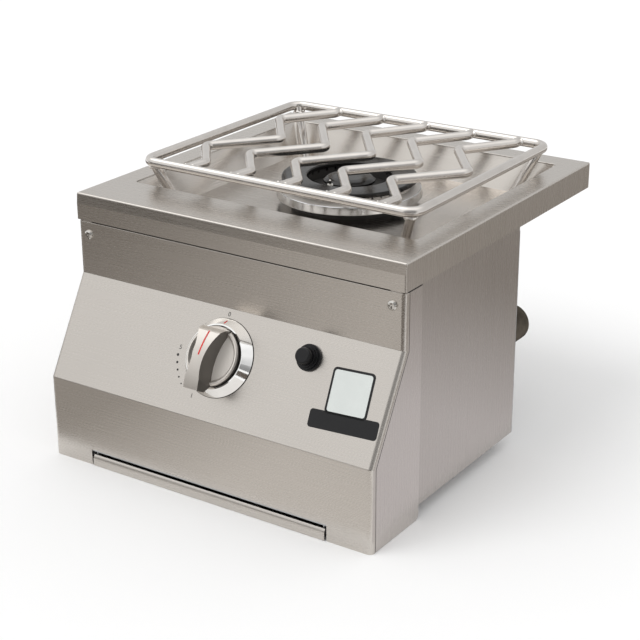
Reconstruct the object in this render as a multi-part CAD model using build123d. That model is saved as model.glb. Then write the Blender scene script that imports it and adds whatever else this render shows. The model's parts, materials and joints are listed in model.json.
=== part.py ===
from build123d import *
import math
import os

# Drop-in single side burner, millimetres, +Z up, front towards -Y.
# Pieces are drawn with Y = 0 at the front edge of the top, then moved so that
# the origin lies under the middle of the whole object, on the surface it stands on.

# Sheet metal, clearances
top_sheet = 1.2
sheet = 1.0
seam = 0.3
clearance = 0.3
running_clearance = 0.06
weld_gap = 0.05
overcut = 1.0

# Top surround
top_width = 368.0
top_depth = 359.0
top_height = 255.1
flange_height = 26.2
flange_return = 12.0
top_edge_radius = 1.5
opening_edge_radius = 0.9
front_brow_height = 10.5
front_brow_setback = 0.9
smallest_radius = 0.2

# Spill well
well_side_margin = 25.0
well_front_margin = 58.0
well_rear_margin = 26.0
well_depth = 30.0
well_wall_slant = 20.0
well_corner_radius = 4.0

# Front panel: upright band, sloped control face, lower upright face
panel_side_inset = 0.3
panel_setback = 0.8
panel_top_gap = 1.5
knee_height = 82.8
slope_drop = 92.0
slope_reach = 52.1
panel_roll_radius = 5.0
panel_roll_depth = 6.0
panel_fold_radius = 1.5
panel_top_edge = 0.6
panel_bottom_return = 15.0
panel_top_return = 12.0

# Cheeks and casing
cheek_rear = 28.4
cheek_seam = 0.9
cheek_corner_radius = 5.0
casing_rear = 211.8
casing_base = 13.6
wall_flange = 15.0
base_upstand = 12.0
vent_length = 36.0
vent_width = 5.0
vent_pitch_x = 48.0
vent_pitch_row = 14.0
vents_per_row = 5
rear_vent_rows = 2
base_vent_rows = 1
rear_vent_height = 60.0
base_vent_middle = 60.0
cup_relief = 6.0

# Fasteners
panel_screw_inset = 13.5
panel_screw_drop = 12.4
panel_screw_head_radius = 4.85
panel_screw_head_height = 2.6
panel_screw_shank_radius = 2.0
panel_screw_length = 9.0
casing_screw_head_radius = 4.0
casing_screw_head_height = 2.2
casing_screw_shank_radius = 1.8
casing_screw_length = 7.0
casing_screw_end_margin = 26.0
screw_dome = ((0.92, 0.5), (0.6, 0.9))
cross_length = 1.1
cross_width = 0.3
cross_depth = 0.55

# Pull-out tray
slot_side_margin = 47.5
slot_height = 16.5
tray_lip_side_gap = 2.0
tray_lip_height = 11.0
tray_lip_lean = 2.2
tray_lip_bend = 7.4
tray_lip_proud = 1.0
tray_lip_overlap = 3.5
tray_length = 240.0
tray_wall_height = 8.0
runner_foot = 10.0
runner_top_flange = 12.0

# Control knob and its valve, on the sloped face
knob_drop = 46.5
bezel_radius = 36.9
bezel_bore_radius = 29.0
bezel_height = 9.2
bezel_rim_height = 1.0
bezel_wall = 1.3
knob_radius = 27.7
knob_skirt_low = 4.2
knob_rim_height = 13.5
knob_rim_width = 2.6
knob_dish_depth = 2.4
knob_face_thickness = 2.2
knob_wall = 2.2
knob_hub_radius = 8.0
knob_hub_drop = 1.6
blade_tail = 34.0
blade_tail_height = 31.2
blade_tail_depth = 11.0
blade_crown = 12.0
blade_crown_height = 34.2
blade_brow = 20.5
blade_brow_height = 26.8
blade_tail_half_width = 7.75
blade_nose_half_width = 14.0
blade_waist_half_width = 4.4
blade_waist_top_half_width = 5.9
blade_waist_radius = 67.0
blade_waist_shift = 8.0
stem_radius = 4.0
stem_tip_height = 24.0
stem_depth = 22.0
push_travel = 3.5
washer_radius = 7.4
washer_thickness = 1.2
bonnet_radius = 7.0
bonnet_height = 2.0
bracket_length = 62.0
bracket_width = 34.0
bracket_thickness = 1.5
valve_width = 26.0
valve_length = 40.0
valve_edge_radius = 3.0
valve_boss_radius = 7.5
valve_boss_length = 7.0
valve_inlet_depth = 30.0

# Igniter
igniter_side_margin = 91.0
igniter_drop = 25.5
igniter_step_radii = (12.3, 10.7, 9.3)
igniter_step_height = 2.4
igniter_button_radius = 7.7
igniter_button_height = 13.8
igniter_button_edge = 1.6
igniter_travel = 5.0
igniter_module_radius = 9.4
igniter_module_length = 48.0
igniter_module_floor = 10.0

# Burner, on the well floor
burner_shift = 1.5
cup_radius = 38.0
cup_wall = 4.0
cup_depth = 19.0
burner_flange_radius = 58.0
burner_flange_height = 8.7
burner_screw_circle_radius = 49.0
burner_screw_count = 4
burner_screw_radius = 2.0
burner_screw_head_radius = 3.6
burner_screw_head_height = 2.2
burner_screw_length = 7.0
drip_head_gap = 7.5
drip_rim_flare = 1.5
drip_rim_height = 8.0
drip_rim_width = 3.0
drip_sheet = 1.2
head_radius = 61.0
head_inner_radius = 44.0
head_height = 14.3
head_floor = 4.0
head_wall = 5.0
pilot_radius = 22.0
pilot_height = 12.0
pilot_wall = 5.0
port_width = 2.0
port_depth = 4.0
outer_ports = 40
inner_ports = 28
pilot_ports = 16
outer_cap_radius = 67.4
outer_cap_bore_radius = 42.0
outer_cap_height = 4.2
outer_cap_edge = 1.6
pilot_cap_radius = 26.0
pilot_cap_height = 5.0
electrode_x = -3.0
electrode_y = -30.3
ceramic_radius = 3.0
ceramic_collar_radius = 4.4
ceramic_collar_height = 2.0
ceramic_height = 11.5
ceramic_tail = 9.0
spark_tip_radius = 1.3
spark_tip_height = 5.0

# Gas line
tube_radius = 5.0
tube_bend_radius = 22.0
tube_drop = 46.0
jet_radius = 8.0
jet_length = 20.0
jet_nozzle_radius = 5.0
jet_nozzle_length = 9.0
regulator_side_margin = 27.9
regulator_z = 110.0
regulator_radius = 19.0
regulator_length = 36.0
regulator_standoff = 12.0
regulator_edge = 3.0
bonnet_cap_radius = 14.0
bonnet_cap_height = 5.0
nipple_radius = 6.5
nipple_inside = 16.0
bulkhead_nut_flats = 19.0
bulkhead_nut_height = 7.0
inlet_neck_radius = 8.0
inlet_neck_length = 7.0
inlet_nut_flats = 22.0
inlet_nut_height = 19.0
inlet_bore_radius = 7.14
inlet_bore_depth = 13.0

# Grate
rod_radius = 4.75
grate_rise = 20.4
grate_side_gap = 6.6
grate_front_gap = 7.8
grate_rear_gap = 8.0
grate_corner_radius = 14.0
zigzag_count = 5
zigzag_edge_gap = 44.4
zigzag_bend_radius = 8.0
zigzag_start = 7.0
zigzag_end = 13.0
zigzag_kinks = ((11.0, 0.1003), (-26.0, 0.284), (24.0, 0.5193), (-23.0, 0.7593))
leg_side_inset = 5.0
leg_front_inset = 4.8
leg_rear_inset = 3.0
leg_lean_x = 22.0
leg_lean_y = 18.0

# Derived levels and lines
flange_low = top_height - flange_height
well_floor = top_height - well_depth
well_under = well_floor - sheet
panel_half = top_width / 2 - panel_side_inset
panel_top = flange_low - panel_top_gap
bend_height = knee_height + slope_drop
knee_front = panel_setback - slope_reach
panel_line = [(panel_setback, panel_top), (panel_setback, bend_height),
              (knee_front, knee_height), (knee_front, 0.0)]
casing_half = panel_half - sheet
casing_front = panel_setback + sheet
base_under = casing_base + sheet
well_half = top_width / 2 - well_side_margin
well_rear = top_depth - well_rear_margin
well_middle = (well_front_margin + well_rear) / 2
slot_width = top_width - 2 * slot_side_margin
tray_lip_width = slot_width - 2 * tray_lip_side_gap
tray_half = tray_lip_width / 2 - tray_lip_overlap
igniter_offset = top_width / 2 - igniter_side_margin
burner_middle = well_middle + burner_shift
regulator_x = casing_half - regulator_side_margin
slope_length = math.hypot(slope_drop, slope_reach)
outward = Vector(0, -slope_drop, slope_reach) / slope_length
grate_level = top_height + grate_rise
grate_half_width = well_half - grate_side_gap
grate_front = well_front_margin + grate_front_gap
grate_rear = well_rear - grate_rear_gap
zigzag_pitch = 2 * (grate_half_width - zigzag_edge_gap) / (zigzag_count - 1)
burner_seat = well_floor + burner_flange_height
drip_top_radius = head_radius + drip_head_gap + drip_rim_width
drip_radius = drip_top_radius + drip_rim_flare
head_seat = burner_seat + drip_sheet
head_top = head_seat + head_height
pilot_top = head_seat + pilot_height
cup_low = well_under - cup_depth


def slope_plane(x, drop):
    """Plane on the sloped face, local Z out of the face and local Y up the slope."""
    origin = (x, panel_setback - drop * slope_reach / slope_length,
              bend_height - drop * slope_drop / slope_length)
    return Plane(origin=origin, x_dir=(1, 0, 0), z_dir=outward)


knob_plane = slope_plane(0, knob_drop)
igniter_plane = slope_plane(igniter_offset, igniter_drop)


def block(low, high):
    """Rectangular block between two corners."""
    size = [b - a for a, b in zip(low, high)]
    middle = [(a + b) / 2 for a, b in zip(low, high)]
    return Pos(*middle) * Box(*size)


def drum(radius, low, high):
    """Upright cylinder between two levels."""
    return Pos(0, 0, (low + high) / 2) * Cylinder(radius, high - low)


def turned(*points):
    """Body turned about Z from a closed outline of (radius, height) points."""
    return revolve(Plane.XZ * make_face(Polyline(*points, close=True).edges()), Axis.Z)


def hexagon(flats, low, high):
    """Upright hexagonal bar between two levels."""
    return Pos(0, 0, low) * extrude(RegularPolygon(flats / 2, 6, major_radius=False), high - low)


def rod(path, radius):
    """Round rod along a path."""
    return sweep(Plane(origin=path @ 0, z_dir=path % 0) * Circle(radius), path=path)


def pan_screw(head_radius, head_height, shank_radius, length):
    """Round-headed screw with a cross recess, head up from Z = 0."""
    dome = [(head_radius * across, head_height * up) for across, up in screw_dome]
    head = turned((0, 0), (head_radius, 0), *dome, (0, head_height))
    bar = Pos(0, 0, head_height) * Box(cross_length * head_radius, cross_width * head_radius,
                                       2 * cross_depth * head_height)
    return head + drum(shank_radius, -length, head_height / 4) - bar - Rot(0, 0, 90) * bar


def mirrored(piece):
    """The same piece on the other side of the middle plane."""
    return mirror(piece, about=Plane.YZ)


def set_back(distance):
    """The panel's folded line moved back by a distance, from its top to its foot."""
    wire = offset(Polyline(*panel_line), amount=distance, side=Side.LEFT,
                  kind=Kind.INTERSECTION, closed=False)
    corners = [(v.X, v.Y) for v in wire.vertices()]
    return sorted(corners, key=lambda corner: -corner[1])


def lies_on(vertex, corner):
    """Whether a point lies on the line along X through a (y, z) corner."""
    return math.hypot(vertex.Y - corner[0], vertex.Z - corner[1]) < smallest_radius / 10


def along_corner(shape, corner):
    """The long edges of a shape that run along X through a (y, z) corner."""
    return [edge for edge in shape.edges().filter_by(Axis.X) if lies_on(edge.center(), corner)]


def panel_prism(front, back, half_width, roll, bend_fold, knee_fold):
    """Bar with the panel's folded section, its two front side edges rolled and its folds rounded."""
    outline = make_face(Polyline(*front, *reversed(back), close=True).edges())
    bar = extrude(Plane.YZ * outline, half_width, both=True)

    def on_front(vertex):
        return any(lies_on(vertex, corner) for corner in front)

    rolled = [edge for edge in bar.edges() - bar.edges().filter_by(Axis.X)
              if all(on_front(vertex) for vertex in edge.vertices())]
    bar = fillet(rolled, roll)
    bar = fillet(along_corner(bar, front[1]), bend_fold)
    return fillet(along_corner(bar, front[2]), knee_fold)


def vent_row(plane, x_count, rows):
    """Obround vent cutters in a grid on a plane."""
    slot = extrude(SlotOverall(vent_length, vent_width), 4 * sheet, both=True)
    return [plane * loc * slot for loc in GridLocations(vent_pitch_x, vent_pitch_row, x_count, rows)]


# Top and well

def make_top_surround():
    middle_y = top_depth / 2

    def folded(inset, low, high, radius):
        shape = Pos(0, middle_y, (low + high) / 2) * Box(
            top_width - 2 * inset, top_depth - 2 * inset, high - low)
        front = shape.faces().sort_by(Axis.Y)[0]
        brow = front.edges().sort_by(Axis.Z)[-1]
        shape = chamfer(brow, front_brow_height, front_brow_setback, reference=front)
        top = shape.faces().sort_by(Axis.Z)[-1]
        corners = [edge for edge in shape.edges() - top.edges()
                   if edge.bounding_box().size.Z > smallest_radius]
        return fillet(corners + top.edges(), radius)

    shell = folded(0, flange_low, top_height, top_edge_radius)
    inner_radius = max(top_edge_radius - top_sheet, smallest_radius)
    hollow = folded(top_sheet, flange_low + top_sheet, top_height - top_sheet, inner_radius)
    mouth = Pos(0, middle_y, flange_low) * Box(
        top_width - 2 * flange_return, top_depth - 2 * flange_return, 3 * top_sheet)
    opening = Pos(0, well_middle, top_height) * extrude(
        RectangleRounded(2 * well_half, well_rear - well_front_margin, well_corner_radius),
        2 * top_sheet, both=True)
    top = shell - hollow - mouth - opening
    rim = top.faces().sort_by(Axis.Z)[-1].inner_wires().edges()
    return fillet(rim, opening_edge_radius)


def make_spill_well():
    rim = top_height - top_sheet
    length = well_rear - well_front_margin
    fall = rim - well_floor
    wall = sheet * math.hypot(1, well_wall_slant / fall)

    def tub(grow, low):
        shrink = well_wall_slant * (rim - low) / fall
        top = Pos(0, well_middle, rim) * RectangleRounded(
            2 * (well_half + grow), length + 2 * grow, well_corner_radius + grow)
        foot = Pos(0, well_middle, low) * RectangleRounded(
            2 * (well_half + grow - shrink), length + 2 * (grow - shrink), well_corner_radius + grow)
        return loft([foot, top])

    well = tub(wall, well_under) - tub(0, well_floor)
    holes = [drum(cup_radius + clearance, well_under - overcut, well_floor + overcut)]
    holes += [loc * drum(burner_screw_radius + clearance, well_under - overcut, well_floor + overcut)
              for loc in PolarLocations(burner_screw_circle_radius, burner_screw_count)]
    return well - [Pos(0, burner_middle, 0) * hole for hole in holes]


# Front panel and casing

def make_front_panel():
    outer_fold = panel_fold_radius + sheet
    outer = panel_prism(panel_line, set_back(panel_roll_depth), panel_half, panel_roll_radius,
                        panel_fold_radius, outer_fold)
    inner_radius = max(panel_roll_radius - sheet, smallest_radius)
    inner = panel_prism(set_back(sheet), set_back(panel_roll_depth + sheet), panel_half - sheet,
                        inner_radius, outer_fold, panel_fold_radius)
    top_return = block((-casing_half + wall_flange + seam, panel_setback, panel_top - sheet),
                       (casing_half - wall_flange - seam, panel_setback + panel_top_return, panel_top))
    foot_half = casing_half - panel_roll_radius
    foot_return = block((-foot_half, knee_front + sheet / 2, 0),
                        (foot_half, knee_front + panel_bottom_return, sheet))
    panel = outer - inner + top_return + foot_return
    panel = fillet(along_corner(panel, panel_line[0]), panel_top_edge)
    slot = block((-slot_width / 2, knee_front - overcut, -overcut),
                 (slot_width / 2, knee_front + panel_bottom_return + overcut, slot_height))
    cuts = [slot,
            knob_plane * drum(bonnet_radius + clearance, -3 * sheet, sheet),
            igniter_plane * drum(igniter_module_radius + clearance, -3 * sheet, sheet)]
    cuts += [place * drum(panel_screw_shank_radius + clearance, -3 * sheet, sheet)
             for place in panel_screw_places()]
    return panel - cuts


def panel_screw_places():
    """Planes on the upright band, one for each panel screw, Z out of the face."""
    return [Plane(origin=(side * (top_width / 2 - panel_screw_inset), panel_setback,
                          panel_top - panel_screw_drop), x_dir=(1, 0, 0), z_dir=(0, -1, 0))
            for side in (-1, 1)]


def make_panel_screws():
    screw = pan_screw(panel_screw_head_radius, panel_screw_head_height,
                      panel_screw_shank_radius, panel_screw_length)
    return [place * screw for place in panel_screw_places()]


def make_right_cheek():
    front = set_back(panel_roll_depth + cheek_seam)
    outline = [(front[0][0], panel_top), *front[1:-1], (front[-1][0], seam),
               (cheek_rear, seam), (cheek_rear, panel_top)]
    plate = extrude(Plane.YZ * make_face(Polyline(*outline, close=True).edges()), sheet)
    corner = [edge for edge in plate.edges().filter_by(Axis.X)
              if abs(edge.center().Y - cheek_rear) < 1e-3 and edge.center().Z < casing_base]
    return Pos(casing_half, 0, 0) * fillet(corner, cheek_corner_radius)


def rolled_front(shape, radius):
    """Block with its outer front upright edge rolled."""
    upright = shape.edges().filter_by(Axis.Z)
    outer_front = upright.sort_by(lambda edge: edge.center().X - edge.center().Y)[-1]
    return fillet(outer_front, max(radius, smallest_radius))


def make_right_side_wall():
    inside = casing_half - wall_flange
    rear = casing_rear - sheet
    shell = rolled_front(block((inside, casing_front, casing_base), (casing_half, rear, flange_low)),
                         panel_roll_radius)
    hollow = rolled_front(block((inside - overcut, casing_front + sheet, casing_base + sheet),
                                (casing_half - sheet, rear - sheet, flange_low - sheet)),
                          panel_roll_radius - sheet)
    below_bend = block((inside - overcut, casing_front - overcut, casing_base + sheet),
                       (casing_half - sheet, casing_front + 2 * sheet, bend_height + seam))
    return_room = block((inside - overcut, casing_front - overcut, flange_low - panel_top_gap - 2 * sheet),
                        (inside, casing_front + panel_top_return, flange_low - panel_top_gap + seam))
    cuts = [panel_screw_places()[1] * drum(panel_screw_shank_radius + seam, -4 * sheet, 0)]
    cuts += [place * drum(casing_screw_shank_radius + seam, -4 * sheet, sheet)
             for place in casing_screw_places(1)]
    return shell - hollow - below_bend - return_room - cuts


def casing_screw_places(side):
    """Planes on the rear face at one side, one for each casing screw, Z to the rear."""
    x = side * (casing_half - wall_flange / 2)
    levels = (casing_base + casing_screw_end_margin, well_under - casing_screw_end_margin)
    return [Plane(origin=(x, casing_rear, z), x_dir=(-1, 0, 0), z_dir=(0, 1, 0)) for z in levels]


def make_casing_screws():
    screw = pan_screw(casing_screw_head_radius, casing_screw_head_height,
                      casing_screw_shank_radius, casing_screw_length)
    return [place * screw for side in (-1, 1) for place in casing_screw_places(side)]


def make_rear_panel():
    plate = block((-casing_half, casing_rear - sheet, casing_base), (casing_half, casing_rear, well_under))
    relief = block((-cup_radius - cup_relief, casing_rear - 2 * sheet, cup_low - cup_relief),
                   (cup_radius + cup_relief, casing_rear + sheet, well_under + sheet))
    vents = Plane(origin=(0, casing_rear, rear_vent_height), x_dir=(1, 0, 0), z_dir=(0, -1, 0))
    cuts = [relief, *vent_row(vents, vents_per_row, rear_vent_rows)]
    cuts += [outlet_plane * drum(nipple_radius + clearance, -3 * sheet, 3 * sheet)]
    cuts += [place * drum(casing_screw_shank_radius + seam, -3 * sheet, sheet)
             for side in (-1, 1) for place in casing_screw_places(side)]
    return plate - cuts


def make_bottom_panel():
    half = casing_half - panel_roll_radius - seam
    front = knee_front + sheet
    plate = block((-half, front, base_under), (half, casing_rear - 2 * sheet - seam, base_under + sheet))
    upstand = block((-half, front, base_under), (half, front + sheet, base_under + base_upstand))
    vents = Plane(origin=(0, base_vent_middle, base_under), x_dir=(1, 0, 0), z_dir=(0, 0, 1))
    return plate + upstand - vent_row(vents, vents_per_row, base_vent_rows)


# Tray and its runners

runner_half = tray_half + clearance
tray_floor = sheet + clearance
tray_front = knee_front - tray_lip_proud


def make_right_runner():
    outline = [(runner_half - runner_foot, 0), (runner_half + sheet, 0),
               (runner_half + sheet, base_under - sheet),
               (runner_half + sheet + runner_top_flange, base_under - sheet),
               (runner_half + sheet + runner_top_flange, base_under), (runner_half, base_under),
               (runner_half, sheet), (runner_half - runner_foot, sheet)]
    section = Plane.XZ * make_face(Polyline(*outline, close=True).edges())
    start = max(knee_front, tray_front + tray_lip_lean) + sheet + 2 * seam
    return Pos(0, start, 0) * extrude(section, -(casing_rear - sheet - seam - start))


def make_instruction_tray():
    rear = tray_front + tray_length
    inside_front = knee_front + 2 * sheet + seam
    shell = block((-tray_half, inside_front, tray_floor), (tray_half, rear, tray_floor + tray_wall_height))
    hollow = block((-tray_half + sheet, inside_front - overcut, tray_floor + sheet),
                   (tray_half - sheet, rear - sheet, tray_floor + tray_wall_height + overcut))
    low = tray_floor - sheet
    lip_line = [(inside_front, tray_floor), (tray_front + sheet, tray_floor), (tray_front + sheet, low),
                (tray_front, low), (tray_front, low + tray_lip_bend),
                (tray_front + tray_lip_lean, low + tray_lip_height),
                (tray_front + tray_lip_lean + sheet, low + tray_lip_height),
                (tray_front + sheet, low + tray_lip_bend), (tray_front + sheet, tray_floor + sheet),
                (inside_front, tray_floor + sheet)]
    lip_section = Plane.YZ * make_face(Polyline(*lip_line, close=True).edges())
    lip = extrude(lip_section, tray_lip_width / 2, both=True)
    neck_sides = [block((x, tray_front + sheet, low - overcut),
                        (x + tray_lip_width, inside_front + overcut, slot_height))
                  for x in (-tray_half - tray_lip_width, tray_half)]
    top_band = block((-tray_lip_width, tray_front + sheet, tray_floor + 2 * sheet),
                     (tray_lip_width, inside_front + overcut, slot_height))
    return shell - hollow + (lip - [side - top_band for side in neck_sides])


# Control knob

def make_control_bezel():
    rim, crown, bore = bezel_radius, bezel_bore_radius + bezel_wall, bezel_bore_radius
    slant = (bezel_height - bezel_rim_height) / (rim - crown)
    inner_rim = rim - bezel_wall - bezel_rim_height / slant
    ring = turned((rim, 0), (rim, bezel_rim_height), (crown, bezel_height), (bore, bezel_height),
                  (bore, bezel_height / 2), (crown, bezel_height / 2),
                  (crown, bezel_height - bezel_wall * 1.6), (inner_rim, 0))
    return knob_plane * ring


def make_knob_body():
    face_low = knob_rim_height - knob_dish_depth - knob_face_thickness
    face = knob_rim_height - knob_dish_depth
    inner = knob_radius - knob_wall
    lip = knob_radius - knob_rim_width
    edge = knob_rim_width * 0.45
    disc = turned((0, face_low - knob_hub_drop), (knob_hub_radius, face_low - knob_hub_drop),
                  (knob_hub_radius, face_low), (inner, face_low), (inner, knob_skirt_low),
                  (knob_radius, knob_skirt_low), (knob_radius, knob_rim_height - edge),
                  (knob_radius - edge, knob_rim_height), (lip, knob_rim_height),
                  (lip - knob_dish_depth, face), (0, face))
    side = Polyline((-blade_tail, blade_tail_height), (-blade_tail, blade_tail_height - blade_tail_depth),
                    (-lip, face - knob_face_thickness / 2), (lip, face - knob_face_thickness / 2),
                    (lip, knob_rim_height))
    brow = ThreePointArc((lip, knob_rim_height),
                         ((lip + blade_brow) / 2 + knob_rim_width / 2,
                          (knob_rim_height + blade_brow_height) / 2 + knob_rim_width / 2),
                         (blade_brow, blade_brow_height))
    crown = ThreePointArc((blade_brow, blade_brow_height), (-blade_crown, blade_crown_height),
                          (-blade_tail, blade_tail_height))
    profile = make_face(side.edges() + brow.edges() + crown.edges())
    blade = extrude(Plane.YZ * profile, blade_nose_half_width, both=True)
    plan = make_face(Polyline((-blade_nose_half_width, lip), (blade_nose_half_width, lip),
                              (blade_tail_half_width, -blade_crown), (blade_tail_half_width, -blade_tail),
                              (-blade_tail_half_width, -blade_tail),
                              (-blade_tail_half_width, -blade_crown), close=True).edges())
    blade = blade & extrude(plan, blade_crown_height + knob_radius)
    widening = (blade_waist_top_half_width - blade_waist_half_width) / (blade_crown_height - face)
    top = blade_crown_height + knob_radius
    scoop = Pos(blade_waist_half_width + blade_waist_radius, -blade_waist_shift, (face + top) / 2) * Cone(
        blade_waist_radius, blade_waist_radius - widening * (top - face), top - face)
    blade = blade - scoop - mirrored(scoop)
    bore = drum(stem_radius + weld_gap, 0, stem_tip_height + weld_gap)
    return knob_plane * (disc + blade - bore)


def make_valve_stem():
    stem = drum(stem_radius, -stem_depth, stem_tip_height)
    return knob_plane * stem


def washer_low():
    """Underside of the stem washer, close under the knob's hub."""
    hub_low = knob_rim_height - knob_dish_depth - knob_face_thickness - knob_hub_drop
    return hub_low - clearance - washer_thickness


def make_stem_washer():
    low = washer_low()
    top = low + washer_thickness
    hole = drum(stem_radius + running_clearance, low - overcut, top + overcut)
    return knob_plane * (drum(washer_radius, low, top) - hole)


def make_gas_valve():
    top = -sheet - bracket_thickness
    body = Pos(0, 0, top - valve_length / 2) * Box(valve_width, valve_width, valve_length)
    body = fillet(body.edges().filter_by(Axis.Z), valve_edge_radius)
    bonnet = drum(bonnet_radius, top - overcut, min(bonnet_height, washer_low() - push_travel - clearance))
    outlet = drum(valve_boss_radius, top - valve_length - valve_boss_length, top - valve_length)
    inlet = Pos(0, 0, -valve_inlet_depth) * Rot(0, 90, 0) * drum(
        valve_boss_radius, 0, valve_width / 2 + valve_boss_length)
    bore_foot = -stem_depth - push_travel - clearance
    bore = drum(stem_radius + running_clearance, bore_foot, bonnet_height + overcut)
    return knob_plane * (body + bonnet + outlet + inlet - bore)


def make_valve_bracket():
    plate = Pos(0, 0, -sheet - bracket_thickness / 2) * Box(
        bracket_length, bracket_width, bracket_thickness)
    return knob_plane * (plate - drum(bonnet_radius + seam, -sheet - 2 * bracket_thickness, 0))


# Igniter

def make_igniter_collar():
    outline = [(igniter_module_radius - sheet, 0)]
    height = 0.0
    for radius in igniter_step_radii:
        outline += [(radius, height), (radius, height + igniter_step_height)]
        height += igniter_step_height
    bore = igniter_button_radius + clearance
    outline += [(bore, height), (bore, igniter_step_height),
                (igniter_module_radius - sheet, igniter_step_height)]
    return igniter_plane * turned(*outline)


def make_igniter_module():
    low = -igniter_module_length
    case = drum(igniter_module_radius, low, 0)
    guide = drum(igniter_button_radius + running_clearance, low + igniter_module_floor, overcut)
    return igniter_plane * (case - guide)


def make_igniter_button():
    foot = -igniter_module_length + igniter_module_floor + igniter_travel + clearance
    edge, radius, top = igniter_button_edge, igniter_button_radius, igniter_button_height
    button = turned((0, foot), (radius, foot), (radius, top - edge),
                    (radius - edge * 0.3, top - edge * 0.3), (radius - edge, top), (0, top))
    return igniter_plane * button


# Burner

def at_burner(piece):
    """Piece turned about Z, moved to the burner's axis."""
    return Pos(0, burner_middle, 0) * piece


def screw_ring(piece):
    """Copies of a piece round the burner's screw circle."""
    return [loc * piece for loc in PolarLocations(burner_screw_circle_radius, burner_screw_count)]


def make_burner_base():
    bore = cup_radius - cup_wall
    nozzle = jet_nozzle_radius + clearance
    web = burner_seat - burner_screw_head_height - clearance
    cup = turned((nozzle, cup_low), (cup_radius, cup_low), (cup_radius, well_floor),
                 (burner_flange_radius, well_floor), (burner_flange_radius, burner_seat),
                 (bore, burner_seat), (bore, cup_low + cup_wall), (nozzle, cup_low + cup_wall))
    recess = screw_ring(drum(burner_screw_head_radius + clearance, web, burner_seat + overcut))
    holes = screw_ring(drum(burner_screw_radius + clearance, well_floor - overcut, burner_seat))
    return at_burner(cup - recess - holes)


def make_burner_screws():
    web = burner_seat - burner_screw_head_height - clearance
    screw = pan_screw(burner_screw_head_radius, burner_screw_head_height, burner_screw_radius,
                      burner_screw_length)
    return [at_burner(loc * Pos(0, 0, web) * screw)
            for loc in PolarLocations(burner_screw_circle_radius, burner_screw_count)]


def make_drip_plate():
    bore = cup_radius - cup_wall
    top = burner_seat + drip_rim_height
    inner = drip_top_radius - drip_rim_width
    plate = turned((bore, burner_seat), (inner, burner_seat),
                   (inner + drip_sheet, burner_seat + drip_sheet),
                   (drip_top_radius - drip_sheet, top - drip_sheet),
                   (drip_radius - drip_sheet, burner_seat),
                   (drip_radius, burner_seat), (drip_top_radius, top),
                   (drip_top_radius - drip_sheet, top), (inner, burner_seat + 2 * drip_sheet),
                   (inner - drip_sheet, head_seat), (bore, head_seat))
    return at_burner(plate)


def make_burner_head():
    floor = head_seat + head_floor
    bore = pilot_radius - pilot_wall
    body = turned((bore, head_seat), (head_radius, head_seat), (head_radius, head_top),
                  (head_radius - head_wall, head_top), (head_radius - head_wall, floor),
                  (head_inner_radius + head_wall, floor), (head_inner_radius + head_wall, head_top),
                  (head_inner_radius, head_top), (head_inner_radius, floor), (pilot_radius, floor),
                  (pilot_radius, pilot_top), (bore, pilot_top))

    def ports(radius, count, level):
        notch = Pos(radius - head_wall / 2, 0, level) * Box(2 * head_wall, port_width, 2 * port_depth)
        return [Rot(0, 0, 360 * index / count) * notch for index in range(count)]

    cuts = ports(head_radius, outer_ports, head_top)
    cuts += ports(head_inner_radius + head_wall, inner_ports, head_top)
    cuts += ports(pilot_radius, pilot_ports, pilot_top)
    electrode_hole = drum(ceramic_radius + clearance, head_seat - overcut, floor + overcut)
    cuts += [Pos(electrode_x, electrode_y, 0) * electrode_hole]
    return at_burner(body - cuts)


def make_outer_cap():
    ring = turned((outer_cap_bore_radius, head_top), (outer_cap_radius, head_top),
                  (outer_cap_radius, head_top + outer_cap_height),
                  (outer_cap_bore_radius, head_top + outer_cap_height))
    upper = ring.faces().sort_by(Axis.Z)[-1].edges()
    return at_burner(fillet(upper, outer_cap_edge))


def make_pilot_cap():
    rim = pilot_top + pilot_cap_height * 0.4
    lid = turned((0, pilot_top), (pilot_cap_radius, pilot_top), (pilot_cap_radius, rim),
                 (pilot_cap_radius * 0.86, pilot_top + pilot_cap_height * 0.85),
                 (pilot_cap_radius * 0.6, pilot_top + pilot_cap_height), (0, pilot_top + pilot_cap_height))
    return at_burner(lid)


def at_electrode(piece):
    """Piece turned about Z, moved to the electrode's axis."""
    return at_burner(Pos(electrode_x, electrode_y, 0) * piece)


def make_electrode_ceramic():
    seat = head_seat + head_floor
    body = drum(ceramic_radius, seat - ceramic_tail, seat + ceramic_height)
    collar = drum(ceramic_collar_radius, seat, seat + ceramic_collar_height)
    return at_electrode(body + collar)


def make_spark_tip():
    low = head_seat + head_floor + ceramic_height
    tip = turned((0, low), (spark_tip_radius, low),
                 (spark_tip_radius, low + spark_tip_height - spark_tip_radius), (0, low + spark_tip_height))
    return at_electrode(tip)


# Gas line

outlet_plane = Plane(origin=(regulator_x, casing_rear, regulator_z), x_dir=(1, 0, 0), z_dir=(0, 1, 0))
regulator_front = casing_rear + regulator_standoff


def make_outlet_nipple():
    stub = drum(nipple_radius, -sheet - nipple_inside, regulator_standoff)
    passage = drum(tube_radius - sheet, -sheet - nipple_inside - overcut, regulator_standoff + overcut)
    return outlet_plane * (stub - passage)


def make_bulkhead_nuts():
    hole = drum(nipple_radius + weld_gap, -sheet - 2 * bulkhead_nut_height, 2 * bulkhead_nut_height)
    inside = hexagon(bulkhead_nut_flats, -sheet - bulkhead_nut_height, -sheet)
    outside = hexagon(bulkhead_nut_flats, 0, bulkhead_nut_height)
    return [outlet_plane * (nut - hole) for nut in (inside, outside)]


def inlet_levels():
    """Underside of the regulator's neck and of its inlet fitting."""
    neck_low = regulator_z - regulator_radius - inlet_neck_length
    return neck_low, neck_low - inlet_nut_height


def inlet_column(piece):
    """Piece turned about Z, moved to the regulator's inlet axis."""
    return Pos(regulator_x, regulator_front + regulator_length / 2, 0) * piece


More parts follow.
